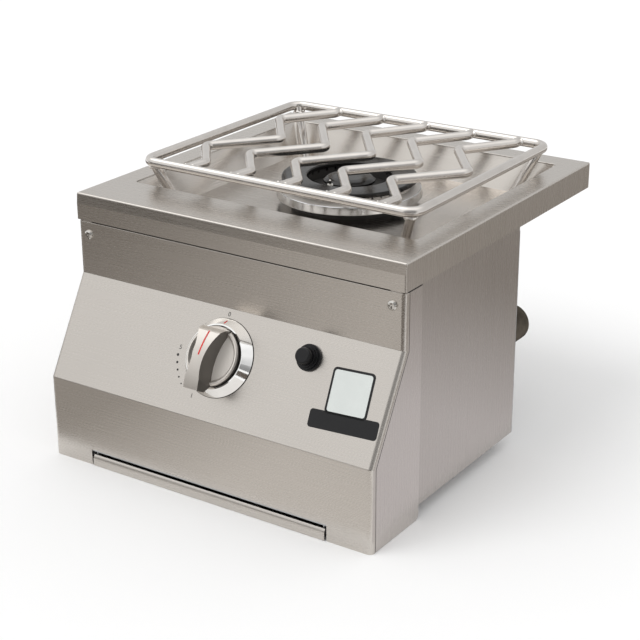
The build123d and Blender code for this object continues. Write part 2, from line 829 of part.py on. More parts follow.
def make_gas_regulator():
    can = drum(regulator_radius, regulator_standoff, regulator_standoff + regulator_length)
    can = fillet(can.faces().sort_by(Axis.Z)[-1].edges(), regulator_edge)
    neck_low, _ = inlet_levels()
    neck = inlet_column(drum(inlet_neck_radius, neck_low, regulator_z))
    return outlet_plane * can + neck


def make_regulator_cap():
    low = regulator_standoff + regulator_length
    cap = turned((0, low), (bonnet_cap_radius, low), (bonnet_cap_radius, low + bonnet_cap_height * 0.7),
                 (bonnet_cap_radius - bonnet_cap_height * 0.3, low + bonnet_cap_height),
                 (0, low + bonnet_cap_height))
    return outlet_plane * cap


def make_inlet_fitting():
    neck_low, nut_low = inlet_levels()
    nut = hexagon(inlet_nut_flats, nut_low, neck_low)
    return inlet_column(nut - drum(inlet_bore_radius, nut_low - overcut, nut_low + inlet_bore_depth))


def make_manifold_tube():
    start = knob_plane.from_local_coords(
        Vector(valve_width / 2 + valve_boss_length, 0, -valve_inlet_depth))
    end = Vector(regulator_x, casing_rear - sheet - nipple_inside, regulator_z)
    corner = Vector(regulator_x - tube_bend_radius, start.Y, start.Z)
    turn = Vector(regulator_x, start.Y + 2 * tube_bend_radius, regulator_z)
    path = FilletPolyline(start, corner, turn, end, radius=tube_bend_radius / 2)
    return rod(path, tube_radius)


def make_burner_tube():
    outlet = sheet + bracket_thickness + valve_length + valve_boss_length
    start = knob_plane.from_local_coords(Vector(0, 0, -outlet))
    low = start - outward * tube_drop
    end = Vector(0, burner_middle, cup_low - jet_length)
    path = FilletPolyline(start, low, Vector(0, burner_middle, low.Z), end, radius=tube_bend_radius)
    return rod(path, tube_radius)


def make_jet_holder():
    holder = hexagon(2 * jet_radius * math.cos(math.pi / 6), cup_low - jet_length, cup_low)
    tip = cup_low + jet_nozzle_length
    nozzle = turned((0, cup_low), (jet_nozzle_radius, cup_low), (jet_nozzle_radius, cup_low + cup_wall),
                    (jet_nozzle_radius / 2, tip), (0, tip))
    return at_burner(holder + nozzle)


# Grate

def make_grate_frame(radius=rod_radius):
    loop = Pos(0, (grate_front + grate_rear) / 2, grate_level) * RectangleRounded(
        2 * grate_half_width, grate_rear - grate_front, grate_corner_radius)
    return rod(loop.wire(), radius)


def frame_rod(radius, rail):
    """Straight cutter along the front or rear rail of the grate frame."""
    return Pos(0, rail, grate_level) * Rot(0, 90, 0) * Cylinder(radius, 3 * grate_half_width)


def make_zigzag_bar(index):
    middle = (index - (zigzag_count - 1) / 2) * zigzag_pitch
    depth = grate_rear - grate_front
    line = [(zigzag_start, grate_front)]
    line += [(x, grate_front + share * depth) for x, share in zigzag_kinks]
    line += [(zigzag_end, grate_rear - 2 * rod_radius), (zigzag_end, grate_rear)]
    points = [(middle + x, y, grate_level) for x, y in line]
    bar = rod(FilletPolyline(*points, radius=zigzag_bend_radius), rod_radius)
    return bar - [frame_rod(rod_radius + weld_gap, rail) for rail in (grate_front, grate_rear)]


def make_grate_legs():
    frame = make_grate_frame(rod_radius + weld_gap)
    legs = []
    foot_level = well_floor + clearance
    for side in (-1, 1):
        for rail, inset, inward in ((grate_front, leg_front_inset, 1), (grate_rear, leg_rear_inset, -1)):
            top = Vector(side * (grate_half_width - leg_side_inset), rail + inward * inset, grate_level)
            drop = grate_level - foot_level
            foot = Vector(top.X - side * leg_lean_x, top.Y + inward * leg_lean_y, foot_level)
            step = (foot - top) / drop
            path = Line(top + step * rod_radius / 2, foot + step * 2 * rod_radius)
            leg = rod(path, rod_radius) - block((-top_width, 0, 0), (top_width, top_depth, foot_level))
            legs.append(leg - frame)
    return legs


pieces = {
    "top_surround": make_top_surround(),
    "spill_well": make_spill_well(),
    "front_panel": make_front_panel(),
    "right_cheek": make_right_cheek(),
    "left_cheek": mirrored(make_right_cheek()),
    "right_side_wall": make_right_side_wall(),
    "left_side_wall": mirrored(make_right_side_wall()),
    "rear_panel": make_rear_panel(),
    "bottom_panel": make_bottom_panel(),
    "right_tray_runner": make_right_runner(),
    "left_tray_runner": mirrored(make_right_runner()),
    "panel_screws": make_panel_screws(),
    "casing_screws": make_casing_screws(),
    "instruction_tray": make_instruction_tray(),
    "control_bezel": make_control_bezel(),
    "knob_body": make_knob_body(),
    "valve_stem": make_valve_stem(),
    "stem_washer": make_stem_washer(),
    "gas_valve": make_gas_valve(),
    "valve_bracket": make_valve_bracket(),
    "igniter_collar": make_igniter_collar(),
    "igniter_module": make_igniter_module(),
    "igniter_button": make_igniter_button(),
    "burner_base": make_burner_base(),
    "burner_screws": make_burner_screws(),
    "drip_plate": make_drip_plate(),
    "burner_head": make_burner_head(),
    "outer_burner_cap": make_outer_cap(),
    "inner_burner_cap": make_pilot_cap(),
    "electrode_ceramic": make_electrode_ceramic(),
    "spark_tip": make_spark_tip(),
    "outlet_nipple": make_outlet_nipple(),
    "bulkhead_nuts": make_bulkhead_nuts(),
    "gas_regulator": make_gas_regulator(),
    "regulator_cap": make_regulator_cap(),
    "inlet_fitting": make_inlet_fitting(),
    "manifold_tube": make_manifold_tube(),
    "burner_gas_tube": make_burner_tube(),
    "jet_holder": make_jet_holder(),
    "grate_frame": make_grate_frame(),
    "grate_legs": make_grate_legs(),
}
for index in range(zigzag_count):
    pieces[f"zigzag_bar_{index + 1}"] = make_zigzag_bar(index)

# The origin lies under the middle of the whole object.
solids = []
for piece in pieces.values():
    solids += piece if isinstance(piece, list) else [piece]
whole = Compound(solids).bounding_box()
to_origin = Pos(-whole.center().X, -whole.center().Y, -whole.min.Z)

os.makedirs("parts", exist_ok=True)
for name, piece in pieces.items():
    group = piece if isinstance(piece, list) else [piece]
    moved = [to_origin * solid for solid in group]
    export_step(moved[0] if len(moved) == 1 else Compound(moved), f"parts/{name}.step")
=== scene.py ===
"""Looks of a drop-in gas side burner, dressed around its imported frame.

Sizes are in metres in the frame's own axes: +Z up, the control panel towards -Y, and the
origin under the middle of the object, on the plane that it stands on.
"""

import json
import logging
import math
from dataclasses import dataclass, replace
from enum import Enum

import bmesh
import bpy
from mathutils import Matrix, Vector
from mathutils.bvhtree import BVHTree

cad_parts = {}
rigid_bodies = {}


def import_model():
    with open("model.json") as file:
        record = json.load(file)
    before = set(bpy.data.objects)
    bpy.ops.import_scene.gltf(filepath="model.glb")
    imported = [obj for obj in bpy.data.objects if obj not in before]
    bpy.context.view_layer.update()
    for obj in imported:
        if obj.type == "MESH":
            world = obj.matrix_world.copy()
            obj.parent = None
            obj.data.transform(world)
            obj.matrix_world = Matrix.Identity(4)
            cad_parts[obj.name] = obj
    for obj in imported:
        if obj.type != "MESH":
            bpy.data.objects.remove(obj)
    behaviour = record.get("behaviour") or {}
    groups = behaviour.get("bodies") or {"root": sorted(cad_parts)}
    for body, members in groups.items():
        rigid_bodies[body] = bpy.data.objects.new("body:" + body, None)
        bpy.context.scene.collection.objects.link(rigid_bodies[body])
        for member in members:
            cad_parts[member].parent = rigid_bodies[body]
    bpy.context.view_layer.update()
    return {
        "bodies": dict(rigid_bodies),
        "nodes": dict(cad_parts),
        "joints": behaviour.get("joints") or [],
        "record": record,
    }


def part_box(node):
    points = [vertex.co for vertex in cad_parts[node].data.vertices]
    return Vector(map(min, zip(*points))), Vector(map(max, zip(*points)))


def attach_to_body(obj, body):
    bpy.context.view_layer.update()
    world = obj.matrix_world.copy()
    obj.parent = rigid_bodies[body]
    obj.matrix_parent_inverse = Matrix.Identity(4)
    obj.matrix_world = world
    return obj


Colour = tuple[float, float, float]
Triple = tuple[float, float, float]
Pair = tuple[float, float]
Inputs = dict[str | int, object]
Socket = bpy.types.NodeSocket
Piece = bpy.types.Object

LOG = logging.getLogger("side_burner")
MM = 0.001
NOISE_BAND: Pair = (0.3, 0.7)
NOISE_ROUGHNESS = 0.55


class Graph:
    """Short calls that add the nodes of one material or world and give their sockets."""

    def __init__(self, tree: bpy.types.NodeTree) -> None:
        """Keep the tree that the nodes go into."""
        self.tree = tree

    def feed(self, node: bpy.types.Node, inputs: Inputs) -> None:
        """Link inputs of a node to other sockets, or set their values.

        Args:
            node: The node.
            inputs: Sockets to link from, or plain values, by the input's name or number.
        """
        for key, value in inputs.items():
            if isinstance(value, Socket):
                self.tree.links.new(value, node.inputs[key])
            else:
                node.inputs[key].default_value = value

    def surface(self, inputs: Inputs) -> None:
        """Feed the surface shader of the material."""
        self.feed(self.tree.nodes["Principled BSDF"], inputs)

    def add(self, kind: str, inputs: Inputs | None = None, **settings: object) -> bpy.types.Node:
        """Add one node.

        Args:
            kind: Blender's class name of the node, after ShaderNode.
            inputs: Values or sockets by the input's name or number.
            settings: Properties of the node itself.

        Returns:
            The new node.
        """
        node = self.tree.nodes.new(f"ShaderNode{kind}")
        for name, value in settings.items():
            setattr(node, name, value)
        self.feed(node, inputs or {})
        return node

    def math(self, operation: str, first: object, second: object = 0.0) -> Socket:
        """Join two numbers by one of Blender's operations."""
        return self.add("Math", {0: first, 1: second}, operation=operation).outputs[0]

    def spread(self, value: object, low: float, high: float, start: float = 0.0,
               end: float = 1.0) -> Socket:
        """Map a number from start and end to low and high, and hold it there."""
        inputs = {"Value": value, "From Min": start, "From Max": end, "To Min": low, "To Max": high}
        return self.add("MapRange", inputs).outputs["Result"]

    def blend(self, factor: object, low: object, high: object) -> Socket:
        """Mix two numbers, the low one at factor 0."""
        return self.add("Mix", {0: factor, 2: low, 3: high}).outputs[0]

    def tint(self, factor: object, dark: object, light: object) -> Socket:
        """Mix two colours, the dark one at factor 0."""
        ends = [(*end, 1.0) if isinstance(end, tuple) else end for end in (dark, light)]
        return self.add("Mix", {0: factor, 6: ends[0], 7: ends[1]}, data_type="RGBA").outputs[2]

    def place(self) -> Socket:
        """Give the place in the object's own frame, in metres."""
        return self.add("TexCoord").outputs["Object"]

    def normal(self) -> Socket:
        """Give the face's normal in the object's own frame."""
        return self.add("TexCoord").outputs["Normal"]

    def parts(self, vector: object) -> bpy.types.NodeOutputs:
        """Split a vector into its parts, by the letter of their axis."""
        return self.add("SeparateXYZ", {0: vector}).outputs

    def sideways(self) -> Socket:
        """Tell how far a face looks to the left or right, from 0 to 1."""
        return self.math("ABSOLUTE", self.parts(self.normal())["X"])

    def dot(self, vector: object, axis: Triple | Vector) -> Socket:
        """Give a vector's dot product with an axis."""
        node = self.add("VectorMath", {0: vector, 1: axis}, operation="DOT_PRODUCT")
        return node.outputs["Value"]

    def noise(self, place: object, scale: float | Triple, detail: float = 3.0) -> Socket:
        """Add a cloud of noise.

        Args:
            place: Socket of the place.
            scale: Bumps per metre, one number or one for each axis.
            detail: Octaves of finer noise.

        Returns:
            The socket of the noise's strength, from 0 to 1.
        """
        if isinstance(scale, tuple):
            stretched = self.add("VectorMath", {0: place, 1: scale}, operation="MULTIPLY")
            place, scale = stretched.outputs[0], 1.0
        inputs = {"Vector": place, "Scale": scale, "Detail": detail, "Roughness": NOISE_ROUGHNESS}
        return self.add("TexNoise", inputs).outputs[0]

    def bump(self, height: object, depth: float) -> Socket:
        """Bump the normal by a height from 0 to 1, its depth in metres."""
        return self.add("Bump", {"Height": height, "Distance": depth}).outputs["Normal"]


class Grain(Enum):
    """Line that the brush marks of a sheet follow."""

    ACROSS = (1, 0, 0)
    DEEP = (0, 1, 0)
    UPRIGHT = (0, 0, 1)

    def stretch(self, along: float, across: float) -> Triple:
        """Return the marks per metre on each axis."""
        return tuple(along if part else across for part in self.value)


@dataclass(frozen=True)
class Finish:
    """A procedural surface, made once and shared by the pieces that have it."""

    name: str
    colour: Colour

    def material(self) -> bpy.types.Material:
        """Make the finish at its first use.

        Returns:
            The material.
        """
        made = bpy.data.materials.get(self.name)
        if made is None:
            made = bpy.data.materials.new(self.name)
            made.use_nodes = True
            self.draw(Graph(made.node_tree))
        return made

    def shade(self, share: float) -> Colour:
        """Return the colour made lighter or darker."""
        return tuple(min(1.0, part * share) for part in self.colour)

    def tone(self, graph: Graph, noise: object, shades: Pair,
             band: Pair = NOISE_BAND) -> Socket:
        """Tint from the first shade of the colour to the second as a noise rises."""
        share = graph.spread(noise, 0.0, 1.0, *band)
        return graph.tint(share, *(self.shade(part) for part in shades))

    def draw(self, graph: Graph) -> None:
        """Lay the nodes of the finish into the material's graph."""
        raise NotImplementedError


@dataclass(frozen=True)
class BrushedSheet(Finish):
    """Stainless sheet with long brush marks and a faint cloud of handling."""

    grain: Grain = Grain.ACROSS
    side_grain: Grain = Grain.UPRIGHT
    roughness: float = 0.27
    mark_depth: float = 0.9e-5
    fine_marks: Pair = (10.0, 2200.0)
    broad_marks: Pair = (2.0, 420.0)
    broad_share: float = 0.3
    mark_shades: Pair = (0.965, 1.03)
    side_limit: float = 0.7
    cloud_scale: float = 9.0
    cloud_shade: float = 0.92
    cloud_share: float = 0.15
    cloud_band: Pair = (0.35, 0.75)
    wear: Pair = (-0.05, 0.06)

    def marks(self, graph: Graph, scale: Pair) -> Socket:
        """Lay brush marks that turn with the face they are on.

        Args:
            graph: The material's nodes.
            scale: Marks per metre along and across the grain.

        Returns:
            The socket of the marks' strength.
        """
        on_side = graph.math("GREATER_THAN", graph.sideways(), self.side_limit)
        grains = (self.grain, self.side_grain)
        layers = [graph.noise(graph.place(), grain.stretch(*scale)) for grain in grains]
        return graph.blend(on_side, *layers)

    def draw(self, graph: Graph) -> None:
        """Lay the nodes: fine marks, broad marks and a cloud.

        Args:
            graph: The material's nodes.
        """
        fine, broad = (self.marks(graph, scale) for scale in (self.fine_marks, self.broad_marks))
        cloud = graph.noise(graph.place(), self.cloud_scale)
        marks = graph.blend(self.broad_share, fine, broad)
        worn = graph.blend(self.broad_share, marks, cloud)
        body = self.tone(graph, marks, self.mark_shades)
        handled = graph.spread(cloud, 0.0, self.cloud_share, *self.cloud_band)
        low, high = (self.roughness + part for part in self.wear)
        graph.surface({
            "Base Color": graph.tint(handled, body, self.shade(self.cloud_shade)),
            "Roughness": graph.spread(worn, low, high, *NOISE_BAND),
            "Normal": graph.bump(marks, self.mark_depth), "Metallic": 1.0})


@dataclass(frozen=True)
class SmoothMetal(Finish):
    """Turned, drawn or plated metal: a low sheen with faint smudges and pits."""

    roughness: float = 0.15
    smudge: float = 0.05
    pit_depth: float = 4e-6
    pit_scale: float = 900.0
    smudge_scale: float = 55.0
    smudge_shades: Pair = (0.94, 1.04)

    def draw(self, graph: Graph) -> None:
        """Lay the nodes: smudges in the sheen and fine pits.

        Args:
            graph: The material's nodes.
        """
        place = graph.place()
        smudges = graph.noise(place, self.smudge_scale, detail=4.0)
        pits = graph.noise(place, self.pit_scale, detail=2.0)
        low, high = self.roughness - self.smudge, self.roughness + self.smudge
        graph.surface({
            "Base Color": self.tone(graph, smudges, self.smudge_shades),
            "Roughness": graph.spread(smudges, low, high, *NOISE_BAND),
            "Normal": graph.bump(pits, self.pit_depth), "Metallic": 1.0})


@dataclass(frozen=True)
class PaintedShadeGrip(SmoothMetal):
    """Satin plating on a knob, with painted shade on the grip's flanks and painted light in its
    dish.
    """

    axis: Triple = (0.0, 0.0, 1.0)
    dish_level: float = 0.0
    # painted light in the dish and painted shade on the flanks, set by which way each face looks
    dish_painted_light: float = 1.2
    dish_painted_light_metallic: float = 0.3
    dish_band: Pair = (0.6, 0.95)
    flank_painted_shade: float = 0.31
    flank_band: Pair = (0.5, 0.72)

    def draw(self, graph: Graph) -> None:
        """Lay the plating, then its painted shade on the flanks and painted light in the dish.

        Args:
            graph: The material's nodes.
        """
        super().draw(graph)
        shader = graph.tree.nodes["Principled BSDF"]
        plated = shader.inputs["Base Color"].links[0].from_socket
        # painted shade: faces that look sideways, the grip's flanks, are darkened
        steep = graph.spread(graph.sideways(), 0.0, 1.0, *self.flank_band)
        outward = graph.spread(graph.dot(graph.normal(), self.axis), 0.0, 1.0, *self.dish_band)
        low = graph.math("LESS_THAN", graph.dot(graph.place(), self.axis), self.dish_level)
        dish = graph.math("MULTIPLY", low, outward)
        painted_flank = graph.tint(steep, plated, self.shade(self.flank_painted_shade))
        # painted light: outward faces below the dish level are made paler and less metallic
        graph.surface({"Base Color": graph.tint(dish, painted_flank, self.shade(self.dish_painted_light)),
                       "Metallic": graph.spread(dish, 1.0, self.dish_painted_light_metallic)})


@dataclass(frozen=True)
class AxisDarkenedCasting(Finish):
    """Dull cast aluminium, darkened round the axis in the middle."""

    axis: Pair = (0.0, 50.5 * MM)
    black_radius: float = 55.0 * MM
    fade_radius: float = 59.5 * MM
    core_shade: float = 0.09
    sand_scale: float = 420.0
    sand_depth: float = 2.5e-5
    sand_shades: Pair = (0.93, 1.05)
    roughness: Pair = (0.46, 0.6)
    metal: float = 0.25

    def draw(self, graph: Graph) -> None:
        """Lay the nodes: a sandy skin under a dark tone that thins out from the axis.

        Args:
            graph: The material's nodes.
        """
        place = graph.place()
        parts, squares = graph.parts(place), []
        for letter, middle in zip("XY", self.axis):
            offset = graph.math("SUBTRACT", parts[letter], middle)
            squares.append(graph.math("MULTIPLY", offset, offset))
        reach = graph.math("SQRT", graph.math("ADD", *squares))
        # darker towards the burner's axis, fading out between the two radii
        undarkened = graph.spread(reach, 0.0, 1.0, self.black_radius, self.fade_radius)
        sand = graph.noise(place, self.sand_scale)
        skin = self.tone(graph, sand, self.sand_shades)
        graph.surface({
            "Base Color": graph.tint(undarkened, self.shade(self.core_shade), skin),
            "Roughness": graph.spread(sand, *self.roughness, *NOISE_BAND),
            "Normal": graph.bump(sand, self.sand_depth), "Metallic": self.metal})


@dataclass(frozen=True)
class SpangledZinc(Finish):
    """Galvanised sheet with its crystal spangle."""

    spangle: float = 130.0
    spangle_shades: Pair = (0.86, 1.08)
    roughness: Pair = (0.38, 0.55)
    frost_scale: float = 700.0
    frost_depth: float = 8e-6

    def draw(self, graph: Graph) -> None:
        """Lay the nodes: crystal cells with their own tone and sheen.

        Args:
            graph: The material's nodes.
        """
        place = graph.place()
        cells = graph.add("TexVoronoi", {"Vector": place, "Scale": self.spangle})
        cell = graph.add("SeparateColor", {0: cells.outputs["Color"]}).outputs[0]
        frost = graph.noise(place, self.frost_scale)
        graph.surface({
            "Base Color": self.tone(graph, cell, self.spangle_shades, (0.0, 1.0)),
            "Roughness": graph.spread(cell, *self.roughness),
            "Normal": graph.bump(frost, self.frost_depth), "Metallic": 1.0})


@dataclass(frozen=True)
class BakedCoat(Finish):
    """Enamel, paint or moulded plastic: a coloured skin with a fine grain."""

    roughness: float = 0.4
    grain_scale: float = 1400.0
    grain_depth: float = 1.2e-5
    coat: float = 0.0
    sheen: float = 0.5
    mottle: float = 0.2
    cloud_scale: float = 60.0
    cloud_band: Pair = (0.3, 0.75)
    dust: Pair = (-0.06, 0.08)
    coat_roughness: float = 0.12

    def draw(self, graph: Graph) -> None:
        """Lay the nodes: a grainy skin, with dust in a slow cloud.

        Args:
            graph: The material's nodes.
        """
        place = graph.place()
        grains = graph.noise(place, self.grain_scale)
        cloud = graph.noise(place, self.cloud_scale)
        shades = (1.0 - self.mottle, 1.0 + self.mottle)
        low, high = (self.roughness + part for part in self.dust)
        graph.surface({
            "Base Color": self.tone(graph, cloud, shades, self.cloud_band),
            "Roughness": graph.spread(cloud, low, high, *NOISE_BAND),
            "Normal": graph.bump(grains, self.grain_depth), "Specular IOR Level": self.sheen,
            "Coat Weight": self.coat, "Coat Roughness": self.coat_roughness})


class Metal:
    """Metal finishes of the burner."""

    SHEET = BrushedSheet("brushed_stainless", (0.60, 0.565, 0.525))
    CHEEK = BrushedSheet("brushed_stainless_cheek", (0.605, 0.567, 0.54), Grain.UPRIGHT)
    # the side walls' steel is a darker copy of the cheeks' steel: painted shade
    WALL_PAINTED_SHADE = BrushedSheet("brushed_stainless_wall_painted_shade", (0.538, 0.504, 0.477), Grain.UPRIGHT)
    WELL = BrushedSheet("brushed_stainless_well", (0.60, 0.565, 0.525), side_grain=Grain.DEEP,
                        roughness=0.24)
    ROD = SmoothMetal("satin_stainless_rod", (0.69, 0.655, 0.62), 0.2, 0.04, 2e-6)
    # the welds are given a lighter colour than the rods' steel: a painted highlight
    WELD = SmoothMetal("tig_weld_painted_highlight", (0.84, 0.81, 0.78), 0.16, 0.06, 2e-5, 500.0)
    POLISHED = SmoothMetal("polished_stainless", (0.64, 0.645, 0.65), 0.12, 0.04)
    CHROME = SmoothMetal("bright_chrome", (0.97, 0.965, 0.95), 0.06, 0.03)
    # the knob's plating carries painted shade on its flanks and painted light in its dish
    NICKEL = PaintedShadeGrip("satin_nickel", (0.66, 0.622, 0.578), 0.46, 0.05, 6e-6, 1500.0)
    SCREW = SmoothMetal("bright_screw_steel", (0.66, 0.64, 0.61), 0.1, 0.04)
    BRASS = SmoothMetal("machined_brass", (0.70, 0.52, 0.24), 0.26, 0.07)
    TUBE = SmoothMetal("drawn_aluminium", (0.74, 0.75, 0.76), 0.32, 0.06)
    HEAD = AxisDarkenedCasting("sand_cast_aluminium", (0.70, 0.66, 0.62))
    ZINC = SpangledZinc("galvanised_sheet", (0.56, 0.57, 0.58))


class Skin:
    """Finishes of the pieces that are coated, moulded, fired or printed."""

    ENAMEL = BakedCoat("black_enamel_iron", (0.012, 0.011, 0.010), 0.18, 900.0, 8e-6, 0.08, 0.28)
    CAST = BakedCoat("black_cast_iron", (0.028, 0.027, 0.026), 0.46, 800.0, 3.5e-5)
    PLASTIC = BakedCoat("black_moulded_plastic", (0.012, 0.012, 0.013), 0.34, sheen=0.25)
    CERAMIC = BakedCoat("glazed_ceramic", (0.80, 0.78, 0.73), 0.2, 500.0, 4e-6, 0.5)
    REGULATOR = BakedCoat("dull_brown_paint", (0.082, 0.069, 0.054), 0.82, 260.0, 9e-5,
                          sheen=0.06, mottle=0.4)
    INK = BakedCoat("black_print", (0.020, 0.019, 0.018), 0.5)
    # dark strips and a ring placed in the joints and under the bezel: painted shade
    SEAM_SHADE = BakedCoat("painted_shade_strip", (0.014, 0.012, 0.010), 0.7, 600.0, 2e-5, sheen=0.15)
    RED = BakedCoat("red_line_paint", (0.62, 0.035, 0.030), 0.38)
    BADGE = BakedCoat("badge_print", (0.012, 0.012, 0.013), 0.4, 900.0, 4e-6, 0.0, 0.3, 0.06)
    FIELD = BakedCoat("badge_field", (0.66, 0.69, 0.67), 0.42, 900.0, 4e-6, 0.0, 0.3, 0.025)


@dataclass(frozen=True)
class EdgeBreak:
    """Broken edge of a cut or folded piece, that catches the light."""

    width: float
    segments: int = 2
    angle: float = math.radians(32.0)
    weld_gap: float = 1e-6
    flatness: int = 80

    def apply(self, piece: Piece) -> None:
        """Add the broken edge to a piece as modifiers.

        Args:
            piece: The object whose sharp edges are broken.
        """
        weld = piece.modifiers.new("join_faces", "WELD")
        weld.merge_threshold = self.weld_gap
        bevel = piece.modifiers.new("broken_edge", "BEVEL")
        bevel.width = self.width
        bevel.segments = self.segments
        bevel.limit_method = "ANGLE"
        bevel.angle_limit = self.angle
        bevel.miter_outer = "MITER_ARC"
        normals = piece.modifiers.new("flat_faces", "WEIGHTED_NORMAL")
        normals.weight = self.flatness


SHEET_EDGE = EdgeBreak(0.35 * MM)
ROLLED_EDGE = EdgeBreak(0.7 * MM, 3)


class Bench:
    """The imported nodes, and the calls that dress them or add pieces to them."""

    def __init__(self, frame: dict) -> None:
        self.nodes: dict[str, Piece] = frame["nodes"]
        self.joints: dict[str, dict] = {joint["name"]: joint for joint in frame["joints"]}

    def coat(self, piece: Piece, finish: Finish) -> None:
        """Give a piece one finish all over."""
        piece.data.materials.clear()
        piece.data.materials.append(finish.material())

    def dress(self, finish: Finish, *names: str, edge: EdgeBreak | None = None) -> None:
        """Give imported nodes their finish.

        Args:
            finish: The surface.
            names: Names of the nodes.
            edge: How their sharp edges are broken, if they are.
        """
        for name in names:
            self.coat(self.nodes[name], finish)
            if edge is not None:
                edge.apply(self.nodes[name])
            LOG.info("dressed %s with %s", name, finish.name)

    def attach(self, piece: Piece, body: str, slot: str, finish: Finish) -> None:
        """Add a new piece to a body.

        Args:
            piece: The piece.
            body: Body that it moves with.
            slot: Not used.
            finish: The surface.
        """
        self.coat(piece, finish)
        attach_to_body(piece, body)
        LOG.info("added %s to %s", piece.name, body)

    def points_of(self, name: str) -> list[Vector]:
        """Return the corners of a node's mesh."""
        return [vertex.co for vertex in self.nodes[name].data.vertices]

    def skin_of(self, name: str) -> BVHTree:
        """Return a node's surface for finding what lies on it."""
        faces = [face.vertices for face in self.nodes[name].data.polygons]
        return BVHTree.FromPolygons(self.points_of(name), faces)


def linked(name: str, data: bpy.types.ID) -> Piece:
    """Put new data into the scene.

    Args:
        name: Name of the object.
        data: Its mesh, curve, lens or lamp.

    Returns:
        The new object.
    """
    piece = bpy.data.objects.new(name, data)
    bpy.context.scene.collection.objects.link(piece)
    return piece


def mesh_piece(name: str, points: list[Vector], faces: list[tuple[int, ...]],
               smooth: bool = False) -> Piece:
    """Make a mesh object.

    Args:
        name: Name of the piece.
        points: Corners of its faces.
        faces: Corner numbers of each face.
        smooth: Whether the faces are shaded as one curved skin.

    Returns:
        The new object, linked to the scene.
    """
    mesh = bpy.data.meshes.new(name)
    mesh.from_pydata(points, [], faces)
    mesh.polygons.foreach_set("use_smooth", [smooth] * len(mesh.polygons))
    shell = bmesh.new()
    shell.from_mesh(mesh)
    bmesh.ops.recalc_face_normals(shell, faces=shell.faces)
    shell.to_mesh(mesh)
    shell.free()
    return linked(name, mesh)


def merged(name: str, pieces: list[Piece]) -> Piece:
    """Join pieces of one kind into one object.

    Args:
        name: Name of the joined piece.
        pieces: The pieces, which are used up.

    Returns:
        The joined object.
    """
    shell = bmesh.new()
    for piece in pieces:
        shell.from_mesh(piece.data)
        bpy.data.objects.remove(piece)
    mesh = bpy.data.meshes.new(name)
    shell.to_mesh(mesh)
    shell.free()
    return linked(name, mesh)


def turns(count: int, closed: bool = False) -> list[float]:
    """Return evenly spread angles of one full turn, its end too where it is closed."""
    return [math.tau * step / count for step in range(count + int(closed))]


def loft_faces(rings: int, count: int) -> list[tuple[int, ...]]:
    """List the faces of a skin over rings of points, closed at both ends.

    Args:
        rings: Number of rings.
        count: Points in each ring.

    Returns:
        Point numbers of each face.
    """
    last = (rings - 1) * count
    faces = [tuple(reversed(range(count))), tuple(range(last, last + count))]
    for low in range(0, last, count):
        for index in range(count):
            step = (index + 1) % count
            faces.append((low + index, low + step, low + count + step, low + count + index))
    return faces


def rectangle(low: Pair, high: Pair) -> list[Pair]:
    """Return the corners of a rectangle, anticlockwise from the lowest."""
    return [low, (high[0], low[1]), high, (low[0], high[1])]


def flat_sheet(name: str, low: Pair, high: Pair, level: float = 0.0) -> Piece:
    """Return a new level sheet between its left front and its right rear corner."""
    points = [Vector((*corner, level)) for corner in rectangle(low, high)]
    return mesh_piece(name, points, [(0, 1, 2, 3)])


def plate(name: str, outline: list[Pair], layers: list[Pair], place: Matrix) -> Piece:
    """Make a flat plate with stepped or chamfered sides from its outline.

    Args:
        name: Name of the piece.
        outline: Points round the plate, on its own plane.
        layers: Height of each layer and how far its outline is drawn in.
        place: The plate's place, local Z out of the face.

    Returns:
        The new object.
    """
    points = []
    for height, inset in layers:
        for index, (x, y) in enumerate(outline):
            after = Vector(outline[(index + 1) % len(outline)])
            run = (after - Vector(outline[index - 1])).normalized()
            points.append(place @ Vector((x - run.y * inset, y + run.x * inset, height)))
    return mesh_piece(name, points, loft_faces(len(layers), len(outline)))


def rounded_rectangle(width: float, height: float, radius: float, steps: int = 8) -> list[Pair]:
    """Draw a rectangle with round corners, anticlockwise.

    Args:
        width: Its width.
        height: Its height.
        radius: Radius of its corners.
        steps: Segments in each corner.

    Returns:
        Its points.
    """
    points = []
    for quarter, (side, up) in enumerate(((1, 1), (-1, 1), (-1, -1), (1, -1))):
        x, y = side * (width / 2 - radius), up * (height / 2 - radius)
        for step in range(steps + 1):
            turn = (quarter + step / steps) * math.pi / 2
            points.append((x + radius * math.cos(turn), y + radius * math.sin(turn)))
    return points


def tube_along(name: str, path: list[Vector], radii: list[float], sides: int = 10) -> Piece:
    """Make a round bead along a path, closed at both ends.

    Args:
        name: Name of the piece.
        path: Points along its middle.
        radii: Its radius at each point.
        sides: Faces round it.

    Returns:
        The new object.
    """
    points = []
    first = None
    for index, (middle, radius) in enumerate(zip(path, radii)):
        run = (path[min(index + 1, len(path) - 1)] - path[max(index - 1, 0)]).normalized()
        first = run.orthogonal() if first is None else first - run * first.dot(run)
        first = first.normalized()
        second = run.cross(first)
        for turn in turns(sides):
            points.append(middle + (first * math.cos(turn) + second * math.sin(turn)) * radius)
    return mesh_piece(name, points, loft_faces(len(path), sides), smooth=True)


@dataclass
class ControlFace:
    """Frame of the sloped control face, from the knob's own joint."""

    bench: Bench
    knob_drop: float = 46.5 * MM

    def place(self, across: float, drop: float, lift: float = 0.0, turn: float = 0.0) -> Matrix:
        """Give a place on the face.

        Args:
            across: Distance right of the middle.
            drop: Distance down the slope from the upper bend.
            lift: Height over the face.
            turn: Turn on the face, anticlockwise, in radians.

        Returns:
            A place with local Z out of the face and local Y up the slope.
        """
        joint = self.bench.joints["knob_turn"]
        out = Vector(joint["axis"]).normalized()
        right = Vector((1, 0, 0))
        up = out.cross(right)
        origin = Vector(joint["pos_m"]) + right * across + up * (self.knob_drop - drop) + out * lift
        frame = Matrix((right, up, out)).transposed().to_4x4()
        return Matrix.Translation(origin) @ frame @ Matrix.Rotation(turn, 4, "Z")


